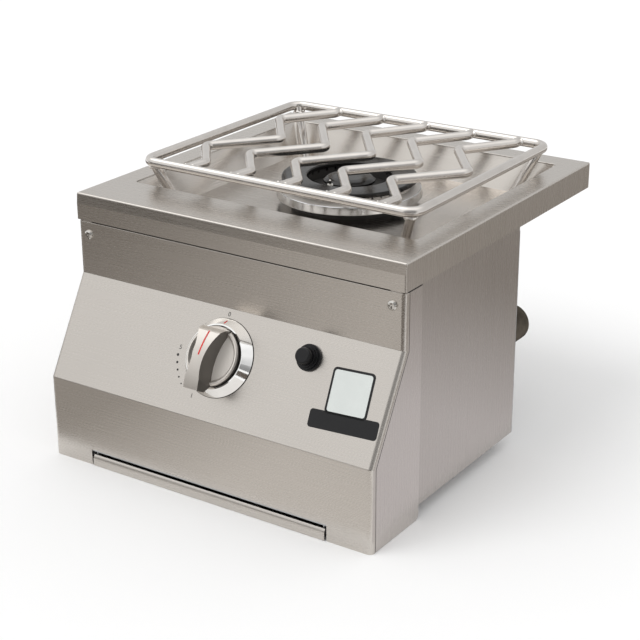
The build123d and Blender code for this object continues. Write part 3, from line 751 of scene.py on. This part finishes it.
@dataclass
class PhotoCamera:
    """Camera at the photograph's angle."""

    place: Triple = (0.8384, -1.2495, 0.7207)
    azimuth: float = math.radians(33.93)
    elevation: float = math.radians(21.93)
    roll: float = math.radians(-0.3)
    lens: float = 91.48

    def build(self) -> None:
        """Make the camera and give it to the scene."""
        lens = bpy.data.cameras.new("photo_camera")
        lens.lens = self.lens
        camera = linked("photo_camera", lens)
        turn = Matrix.Rotation(self.azimuth, 4, "Z")
        tilt = Matrix.Rotation(math.pi / 2 - self.elevation, 4, "X")
        roll = Matrix.Rotation(self.roll, 4, "Z")
        camera.matrix_world = Matrix.Translation(self.place) @ (turn @ tilt @ roll)
        bpy.context.scene.camera = camera


class Axis(Enum):
    """Axis that a card is shaded along."""

    X = "X"
    Y = "Y"


@dataclass(frozen=True)
class MirrorCard:
    """Studio card that only metal sees, as photographers place to shape reflections."""

    name: str
    low: Pair
    high: Pair
    level: float
    axis: Axis
    ramp: Pair
    start: Colour
    end: Colour

    def build(self) -> None:
        """Lay the card flat, shaded between the two places of its ramp."""
        card = flat_sheet(self.name, self.low, self.high, self.level)
        material = bpy.data.materials.new(self.name)
        material.use_nodes = True
        nodes = material.node_tree.nodes
        nodes.remove(nodes["Principled BSDF"])
        graph = Graph(material.node_tree)
        along = graph.parts(graph.place())[self.axis.value]
        share = graph.spread(along, 0.0, 1.0, *self.ramp)
        glow = graph.add("Emission", {"Color": graph.tint(share, self.start, self.end)})
        graph.feed(nodes["Material Output"], {"Surface": glow.outputs[0]})
        card.data.materials.append(material)
        for rays in ("camera", "diffuse", "transmission", "volume_scatter", "shadow"):
            setattr(card, f"visible_{rays}", False)


@dataclass
class Studio:
    """Pale floor, even soft light, cards for the metal and the camera."""

    floor_size: float = 14.0
    floor_shades: tuple[Colour, Colour] = ((0.985, 0.985, 0.985), (1.0, 1.0, 1.0))
    haze_scale: float = 3.0
    card_level: float = 2 * MM
    dark_level: float = 3 * MM
    even_light: float = 0.865
    sweep_levels: Pair = (1.03, 0.73)
    sweep_band: Pair = (-0.8, 0.8)
    crown_level: float = 0.4
    crown_band: Pair = (0.64, 0.92)
    softbox_level: float = 0.9
    softbox_middle: Triple = (-0.520, 0.0, 0.854)
    softbox_band: Pair = (0.90, 0.95)
    horizon_level: float = 0.18
    horizon_height: float = 0.05
    horizon_band: Pair = (0.07, 0.16)
    horizon_ends: Pair = (-0.5, -0.1)
    room_level: float = 0.36
    room_middle: Triple = (0.566, -0.733, 0.377)
    room_band: Pair = (0.76, 0.88)
    sun_strength: float = 0.72
    sun_direction: Triple = (0.42, 0.55, -1.0)
    sun_spread: float = math.radians(35.0)

    def build(self) -> None:
        """Make the studio."""
        bpy.context.scene.view_settings.view_transform = "Standard"
        self.build_world()
        self.build_floor()
        self.build_sun()
        for card in self.cards():
            card.build()
        PhotoCamera().build()
        LOG.info("studio is set")

    def cards(self) -> list[MirrorCard]:
        """List the cards round the object.

        Returns:
            The cards.
        """
        pale, dark = self.card_level, self.dark_level
        rows = (
            ("card_front_far", (-1.6, -0.84), (0.02, -0.60), pale,
             Axis.X, (-0.56, -0.04), (0.315, 0.29, 0.265), (0.86, 0.835, 0.81)),
            ("card_front_middle", (-1.6, -0.60), (0.02, -0.42), pale,
             Axis.X, (-0.56, 0.02), (0.20, 0.18, 0.165), (0.73, 0.70, 0.67)),
            ("card_front_near", (-1.6, -0.42), (0.30, -0.225), pale,
             Axis.X, (-0.22, 0.0), (0.42, 0.395, 0.37), (0.80, 0.775, 0.75)),
            ("card_front_dark", (-3.0, -3.0), (1.2, -0.84), dark,
             Axis.X, (-0.68, -0.48), (0.07, 0.06, 0.05), (0.52, 0.48, 0.44)),
            ("card_left_dark", (-1.2, -0.19), (-0.27, 0.7), dark,
             Axis.X, (-0.6, -0.27), (0.10, 0.085, 0.07), (0.12, 0.105, 0.09)),
            ("card_corner_dark", (0.02, -0.84), (2.0, -0.42), dark,
             Axis.Y, (-0.84, -0.42), (0.10, 0.085, 0.07), (0.13, 0.11, 0.095)),
            ("card_right_near", (0.20, -0.2), (0.505, 1.8), pale,
             Axis.Y, (0.08, 0.46), (0.72, 0.70, 0.71), (0.33, 0.305, 0.28)),
            ("card_right_far", (0.505, -0.2), (1.6, 1.8), pale,
             Axis.Y, (0.3, 0.7), (0.385, 0.355, 0.325), (0.36, 0.335, 0.31)),
        )
        return [MirrorCard(*row) for row in rows]

    def build_world(self) -> None:
        """Light evenly from all round, with white behind the object."""
        world = bpy.data.worlds.new("studio")
        bpy.context.scene.world = world
        world.use_nodes = True
        graph = Graph(world.node_tree)
        rays = graph.add("LightPath").outputs
        mirrored = graph.math("ADD", rays["Is Glossy Ray"], rays["Is Transmission Ray"])
        level = graph.blend(mirrored, self.even_light, self.mirrored_level(graph))
        graph.feed(world.node_tree.nodes["Background"],
                   {"Color": (1.0, 1.0, 1.0, 1.0),
                    "Strength": graph.blend(rays["Is Camera Ray"], level, 1.0)})

    def mirrored_level(self, graph: Graph) -> Socket:
        """Shade the room that metal mirrors: bright overhead, dark round the camera and low down.

        Args:
            graph: The world's nodes.

        Returns:
            The socket of the level.
        """
        heading = graph.add("TexCoord").outputs["Generated"]
        toward = graph.parts(heading)
        sweep = graph.spread(toward["Y"], *self.sweep_levels, *self.sweep_band)
        crown = graph.spread(toward["Z"], 0.0, self.crown_level, *self.crown_band)
        from_line = graph.math("SUBTRACT", toward["Z"], self.horizon_height)
        line = graph.spread(graph.math("ABSOLUTE", from_line), self.horizon_level, 1.0,
                            *self.horizon_band)
        before = graph.spread(toward["Y"], 1.0, 0.0, *self.horizon_ends)
        dimmed = graph.blend(before, 1.0, line)
        facing = graph.dot(heading, self.room_middle)
        room = graph.spread(facing, 1.0, self.room_level, *self.room_band)
        under = graph.dot(heading, self.softbox_middle)
        softbox = graph.spread(under, 0.0, self.softbox_level, *self.softbox_band)
        overhead = graph.math("ADD", graph.math("ADD", sweep, crown), softbox)
        return graph.math("MULTIPLY", graph.math("MULTIPLY", overhead, dimmed), room)

    def build_floor(self) -> None:
        """Lay the pale floor that the object stands on and shades."""
        half = self.floor_size / 2
        floor = flat_sheet("floor", (-half, -half), (half, half))
        material = bpy.data.materials.new("studio_floor")
        material.use_nodes = True
        graph = Graph(material.node_tree)
        haze = graph.noise(graph.place(), self.haze_scale, detail=2.0)
        graph.surface({"Base Color": graph.tint(haze, *self.floor_shades), "Roughness": 1.0,
                       "Specular IOR Level": 0.0})
        floor.data.materials.append(material)

    def build_sun(self) -> None:
        """Hang one broad lamp, high on the left before the object."""
        lamp = bpy.data.lights.new("key_light", "SUN")
        lamp.energy = self.sun_strength
        lamp.angle = self.sun_spread
        sun = linked("key_light", lamp)
        sun.rotation_euler = Vector(self.sun_direction).to_track_quat("-Z", "Y").to_euler()
        sun.visible_glossy = False


@dataclass
class Casing:
    """Folded top, well, front panel, cheeks, walls and their screws, with the printed marks."""

    bench: Bench
    face: ControlFace
    seam_foot: float = 0.2 * MM
    seam_head: float = 0.1 * MM
    front_seam: Pair = (2.6 * MM, 3.2 * MM)
    front_rise: float = 1.0 * MM
    front_end: float = 3.0 * MM
    cheek_seam: Pair = (0.3 * MM, 0.8 * MM)
    cheek_start: float = 6.0 * MM
    print_root: float = -0.05 * MM
    print_shoulder: float = 0.048 * MM
    print_height: float = 0.08 * MM
    print_chamfer: float = 0.1 * MM
    dot_circle: float = 45.9 * MM
    dot_ends: Pair = (math.radians(188.6), math.radians(224.0))
    dot_radii: Pair = (1.35 * MM, 0.75 * MM)
    dot_count: int = 5
    dot_sides: int = 20
    digit_size: float = 6.0 * MM
    digit_spots: tuple[tuple[str, float, float], ...] = (
        ("0", -2.0 * MM, 5.6 * MM), ("5", -44.6 * MM, 46.0 * MM), ("1", -18.0 * MM, 86.5 * MM))
    badge_turn: float = math.radians(2.8)
    badge_bar_middle: Pair = (143.7 * MM, 74.0 * MM)
    badge_bar: Triple = (70.4 * MM, 16.6 * MM, 3.0 * MM)
    badge_panel: Triple = (43.0 * MM, 42.0 * MM, 4.0 * MM)
    badge_lap: float = 2.0 * MM
    badge_border: float = 2.2 * MM
    badge_levels: Pair = (0.2 * MM, 0.25 * MM)
    field_corner: float = 2.5 * MM
    field_levels: Triple = (0.125 * MM, 0.325 * MM, 0.4 * MM)

    def build(self) -> None:
        """Dress the sheet metal and add the marks and the blank badge."""
        dress = self.bench.dress
        dress(Metal.SHEET, "top_surround")
        dress(Metal.SHEET, "front_panel", edge=SHEET_EDGE)
        dress(Metal.WELL, "spill_well")
        dress(Metal.CHEEK, "left_cheek", "right_cheek", edge=SHEET_EDGE)
        dress(Metal.WALL_PAINTED_SHADE, "left_side_wall", "right_side_wall")
        dress(Metal.ZINC, "rear_panel", "bottom_panel", "left_tray_runner", "right_tray_runner",
              "valve_bracket")
        dress(Metal.SCREW, "panel_screws", "casing_screws")
        self.lay_seam_shade()
        self.print_dots()
        self.print_digits()
        self.fix_badge()

    def lay_seam_shade(self) -> None:
        """Lay dark strips of painted shade in the joints under the top's flange."""
        top_low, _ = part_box("top_surround")
        _, panel_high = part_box("front_panel")
        foot, head = panel_high.z - self.seam_foot, top_low.z + self.seam_head
        end = panel_high.x - self.front_end
        near, far = (top_low.y + depth for depth in self.front_seam)
        front = [(foot, 0.0), (head + self.front_rise, 0.0)]
        strips = [plate("strip", rectangle((-end, near), (end, far)), front, Matrix())]
        inset, width = self.cheek_seam
        for name, side in (("left_cheek", -1), ("right_cheek", 1)):
            low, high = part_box(name)
            outer = (high.x if side > 0 else low.x) - side * inset
            left, right = sorted((outer, outer - side * width))
            outline = rectangle((left, top_low.y + self.cheek_start), (right, high.y))
            strips.append(plate("strip", outline, [(foot, 0.0), (head, 0.0)], Matrix()))
        # the strips are painted shade in the gaps under the flange and beside the cheeks
        self.bench.attach(merged("painted_seam_shade", strips), "casing", "black_plastic", Skin.SEAM_SHADE)

    def layers(self, foot: float, shoulder: float, top: float) -> list[Pair]:
        """Return the layers of a thin print or label with a broken upper edge."""
        return [(foot, 0.0), (shoulder, 0.0), (top, self.print_chamfer)]

    def print_dots(self) -> None:
        """Print the row of dots that shrinks from high to low."""
        layers = self.layers(self.print_root, self.print_shoulder, self.print_height)
        dots = []
        for index in range(self.dot_count):
            share = index / (self.dot_count - 1)
            turn, radius = (first + (last - first) * share
                            for first, last in (self.dot_ends, self.dot_radii))
            ring = [(radius * math.cos(a), radius * math.sin(a)) for a in turns(self.dot_sides)]
            place = self.face.place(self.dot_circle * math.cos(turn),
                                    self.face.knob_drop - self.dot_circle * math.sin(turn))
            dots.append(plate("dot", ring, layers, place))
        self.bench.attach(merged("dial_dots", dots), "casing", "dial_ink", Skin.INK)

    def print_digits(self) -> None:
        """Print the plain numbers round the knob."""
        for digit, across, drop in self.digit_spots:
            name = f"dial_number_{digit}"
            curve = bpy.data.curves.new(name, "FONT")
            curve.body = digit
            curve.size = self.digit_size
            curve.align_x = curve.align_y = "CENTER"
            curve.extrude = self.print_height / 2
            drawn = linked("drawn_digit", curve)
            bpy.context.view_layer.update()
            solid = drawn.evaluated_get(bpy.context.evaluated_depsgraph_get())
            mesh = bpy.data.meshes.new_from_object(solid)
            bpy.data.objects.remove(drawn)
            mesh.transform(self.face.place(across, drop, self.print_height / 2))
            self.bench.attach(linked(name, mesh), "casing", "dial_ink", Skin.INK)

    def fix_badge(self) -> None:
        """Fix a blank label to the right of the igniter: a pale panel over a dark bar."""
        bar_place = self.face.place(*self.badge_bar_middle, turn=self.badge_turn)
        rise = (self.badge_bar[1] + self.badge_panel[1]) / 2 - self.badge_lap
        panel_place = bar_place @ Matrix.Translation((0, rise, 0))
        layers = self.layers(self.print_root, *self.badge_levels)
        backs = [plate("back", rounded_rectangle(*self.badge_bar), layers, bar_place),
                 plate("back", rounded_rectangle(*self.badge_panel), layers, panel_place)]
        self.bench.attach(merged("badge_plate", backs), "casing", "badge_black", Skin.BADGE)
        width, height = (side - 2 * self.badge_border for side in self.badge_panel[:2])
        outline = rounded_rectangle(width, height, self.field_corner)
        inner = plate("badge_field", outline, self.layers(*self.field_levels), panel_place)
        self.bench.attach(inner, "casing", "badge_grey", Skin.FIELD)


@dataclass
class ControlKnob:
    """Chrome bezel, knob with its grip blade, and the valve behind."""

    bench: Bench
    face: ControlFace
    line_ends: Pair = (-2.5 * MM, 21.0 * MM)
    line_width: float = 1.5 * MM
    index_ends: Pair = (31.5 * MM, 34.8 * MM)
    index_width: float = 1.3 * MM
    line_steps: int = 24
    line_height: float = 0.15 * MM
    probe_height: float = 60.0 * MM
    shade_ring_bead: float = 0.5 * MM
    shade_ring_steps: int = 96
    shade_ring_sides: int = 8
    dish_reach: float = 20.0 * MM

    def build(self) -> None:
        """Dress the knob and draw its red line and the bezel's index."""
        dress, attach = self.bench.dress, self.bench.attach
        dress(Metal.CHROME, "control_bezel")
        reach = self.face.place(0.0, self.face.knob_drop, self.dish_reach)
        out = reach.to_3x3() @ Vector((0, 0, 1))
        level = out.dot(reach.translation)
        dress(replace(Metal.NICKEL, axis=tuple(out), dish_level=level), "knob_body")
        dress(Metal.BRASS, "valve_stem", "gas_valve")
        dress(Metal.SCREW, "stem_washer")
        line = self.drape("knob_line", "knob_body", self.line_ends, self.line_width)
        attach(line, "knob", "dial_red", Skin.RED)
        index = self.drape("bezel_index", "control_bezel", self.index_ends, self.index_width)
        attach(index, "casing", "dial_red", Skin.RED)
        # a dark ring round the bezel's foot: painted shade
        attach(self.lay_bezel_shade(), "casing", "black_plastic", Skin.SEAM_SHADE)

    def lay_bezel_shade(self) -> Piece:
        """Lay the dark ring of painted shade on which the bezel sits.

        Returns:
            The ring.
        """
        low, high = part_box("control_bezel")
        radius = (high.x - low.x) / 2
        middle = self.face.place(0.0, self.face.knob_drop)
        path = [middle @ Vector((radius * math.cos(turn), radius * math.sin(turn), 0))
                for turn in turns(self.shade_ring_steps, closed=True)]
        return tube_along("bezel_shade_ring", path, [self.shade_ring_bead] * len(path), self.shade_ring_sides)

    def drape(self, name: str, node: str, ends: Pair, width: float) -> Piece:
        """Lay a painted line on a node, up the slope through the knob's axis.

        Args:
            name: Name of the line.
            node: Node that carries it.
            ends: Its lower and upper end from the axis.
            width: Its width.

        Returns:
            The line, a thin skin on the node's surface.
        """
        skin = self.bench.skin_of(node)
        above = self.face.place(0.0, self.face.knob_drop, self.probe_height)
        down = above.to_3x3() @ Vector((0, 0, -1))
        foot, top = ends
        points = []
        for step in range(self.line_steps + 1):
            up = foot + (top - foot) * step / self.line_steps
            for side in (-1, 1):
                start = above @ Vector((side * width / 2, up, 0))
                hit, normal, _, _ = skin.ray_cast(start, down)
                points += [hit + normal * self.line_height * way for way in (side, -side)]
        return mesh_piece(name, points, loft_faces(self.line_steps + 1, 4))


@dataclass
class Igniter:
    """Stepped collar, push button and the spark module behind the panel."""

    bench: Bench

    def build(self) -> None:
        """Dress the igniter."""
        self.bench.dress(Skin.PLASTIC, "igniter_collar", "igniter_button", "igniter_module")


@dataclass
class Burner:
    """Drip plate, ported head, its caps and the spark electrode."""

    bench: Bench
    collar_steps: int = 128
    collar_lap: float = 0.2 * MM
    collar_inset: float = 2.3 * MM
    collar_rise: float = 0.2 * MM
    collar_fall: float = 1.0 * MM
    collar_thickness: float = 0.7 * MM

    def build(self) -> None:
        """Dress the burner."""
        dress = self.bench.dress
        dress(Metal.POLISHED, "drip_plate", edge=ROLLED_EDGE)
        dress(Skin.CAST, "burner_base")
        dress(Metal.HEAD, "burner_head")
        dress(Skin.ENAMEL, "outer_burner_cap", "inner_burner_cap", edge=ROLLED_EDGE)
        dress(Skin.CERAMIC, "electrode_ceramic")
        dress(Metal.SCREW, "spark_tip", "burner_screws")
        self.bench.attach(self.collar(), "casing", "cast_aluminium", Metal.HEAD)

    def collar(self) -> Piece:
        """Build the plain ring that bridges the trough between head and drip rim.

        Returns:
            The ring.
        """
        head_low, head_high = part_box("burner_head")
        rim_low, rim_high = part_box("drip_plate")
        middle = (head_low + head_high) / 2
        inner = (head_high.x - head_low.x) / 2 - self.collar_lap
        outer = (rim_high.x - rim_low.x) / 2 - self.collar_inset
        high, low = rim_high.z + self.collar_rise, rim_high.z - self.collar_fall
        section = [(inner, high), (outer, low), (outer, low + self.collar_thickness),
                   (inner, high + self.collar_thickness)]
        points, faces = [], []
        for step, turn in enumerate(turns(self.collar_steps)):
            points += [Vector((middle.x + radius * math.cos(turn),
                               middle.y + radius * math.sin(turn), z)) for radius, z in section]
            here, there = 4 * step, 4 * ((step + 1) % self.collar_steps)
            faces += [(here + a, there + a, there + b, here + b)
                      for a, b in ((0, 1), (1, 2), (2, 3), (3, 0))]
        return mesh_piece("drip_collar", points, faces)


@dataclass
class Grate:
    """Welded rod grate: frame, five zigzag bars and four legs."""

    bench: Bench
    rod: float = 4.75 * MM
    bead: float = 1.8 * MM
    bars: int = 5
    bar_reach: float = 1.2
    bar_points: int = 24
    leg_drop: float = 1.25
    saddle_steps: int = 12
    saddle_ends: Pair = (39.0, 128.0)
    saddle_gap: float = 0.2
    saddle_taper: Pair = (0.08, 0.84)
    saddle_lumps: Triple = (0.12, 9.0, 900.0)
    collar_steps: int = 28
    collar_wave: Pair = (0.12, 3.0)
    collar_lumps: Triple = (0.16, 7.0, 90.0)

    def build(self) -> None:
        """Dress the rods and lay the weld beads."""
        names = [f"zigzag_bar_{index + 1}" for index in range(self.bars)]
        self.bench.dress(Metal.ROD, "grate_frame", "grate_legs", *names)
        beads = []
        low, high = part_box("grate_frame")
        level = (low.z + high.z) / 2
        for name in names:
            for rail, inward in ((low.y + self.rod, 1), (high.y - self.rod, -1)):
                middle = self.bar_end(name, rail + inward * self.rod * self.bar_reach)
                for side in (-1, 1):
                    beads.append(self.saddle(Vector((middle, rail, level)), inward, side))
        middle = (low + high) / 2
        corners = self.bench.points_of("grate_legs")
        for right in (False, True):
            for rear in (False, True):
                leg = [p for p in corners if (p.x > middle.x, p.y > middle.y) == (right, rear)]
                beads.append(self.collar(leg, level - self.leg_drop * self.rod))
        self.bench.attach(merged("grate_welds", beads), "grate", "grate_steel", Metal.WELD)

    def bar_end(self, name: str, line: float) -> float:
        """Find a bar's middle at a line across the grate.

        Args:
            name: Node of the bar.
            line: The line's Y.

        Returns:
            The X of the bar's middle there.
        """
        points = sorted(self.bench.points_of(name), key=lambda point: abs(point.y - line))
        nearest = [point.x for point in points[:self.bar_points]]
        return (min(nearest) + max(nearest)) / 2

    def saddle(self, joint: Vector, inward: int, side: int) -> Piece:
        """Lay one bead in the corner between a bar and a rail.

        Args:
            joint: Where the two middle lines meet.
            inward: Direction along Y from the rail into the grate.
            side: Side of the bar along X.

        Returns:
            The bead.
        """
        first, last = self.saddle_ends
        gap = self.saddle_gap * self.bead
        size, pace, shift = self.saddle_lumps
        start, run = self.saddle_taper
        path, radii = [], []
        for step in range(self.saddle_steps + 1):
            share = step / self.saddle_steps
            turn = math.radians(first + (last - first) * share)
            out = self.rod * math.sin(turn) + gap
            path.append(joint + Vector((side * out, inward * out, self.rod * math.cos(turn))))
            lump = 1.0 + size * math.sin(pace * share + joint.x * shift)
            radii.append(self.bead * lump * math.sin(math.pi * (start + run * share)) ** 0.5)
        return tube_along("bead", path, radii)

    def collar(self, leg: list[Vector], level: float) -> Piece:
        """Lay the bead round the top of a leg.

        Args:
            leg: Points of the leg.
            level: Height of the bead.

        Returns:
            The bead.
        """
        foot, head = min(p.z for p in leg), max(p.z for p in leg)
        rings = ([p for p in leg if p.z < foot + self.rod],
                 [p for p in leg if p.z > head - 2 * self.rod])
        lower, upper = (sum(ring, Vector()) / len(ring) for ring in rings)
        lean = (upper - lower) / (upper.z - lower.z)
        middle = lower + lean * (level - lower.z)
        wave, waves = self.collar_wave
        size, pace, shift = self.collar_lumps
        path, radii = [], []
        for turn in turns(self.collar_steps, closed=True):
            out = Vector((math.cos(turn), math.sin(turn), wave * math.sin(waves * turn)))
            path.append(middle + out * self.rod)
            radii.append(self.bead * (1.0 + size * math.sin(pace * turn + middle.x * shift)))
        return tube_along("bead", path, radii)


@dataclass
class PullOutTray:
    """Instruction tray that slides out under the panel."""

    bench: Bench

    def build(self) -> None:
        """Dress the tray."""
        self.bench.dress(Metal.SHEET, "instruction_tray", edge=SHEET_EDGE)


@dataclass
class GasLine:
    """Regulator, its fittings and the tubes to the valve and the burner."""

    bench: Bench

    def build(self) -> None:
        """Dress the gas line."""
        dress = self.bench.dress
        dress(Skin.REGULATOR, "gas_regulator", "regulator_cap", "inlet_fitting")
        dress(Metal.BRASS, "outlet_nipple", "bulkhead_nuts", "jet_holder")
        dress(Metal.TUBE, "manifold_tube", "burner_gas_tube")


def main() -> None:
    """Load the frame, set the studio and build every sub-assembly."""
    logging.basicConfig(level=logging.INFO, format="%(name)s: %(message)s")
    for leftover in list(bpy.data.objects):
        bpy.data.objects.remove(leftover)
    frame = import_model()
    bench = Bench(frame)
    face = ControlFace(bench)
    Studio().build()
    for assembly in (Casing(bench, face), ControlKnob(bench, face), Igniter(bench), Burner(bench),
                     Grate(bench), PullOutTray(bench), GasLine(bench)):
        assembly.build()


if __name__ == "__main__":
    main()
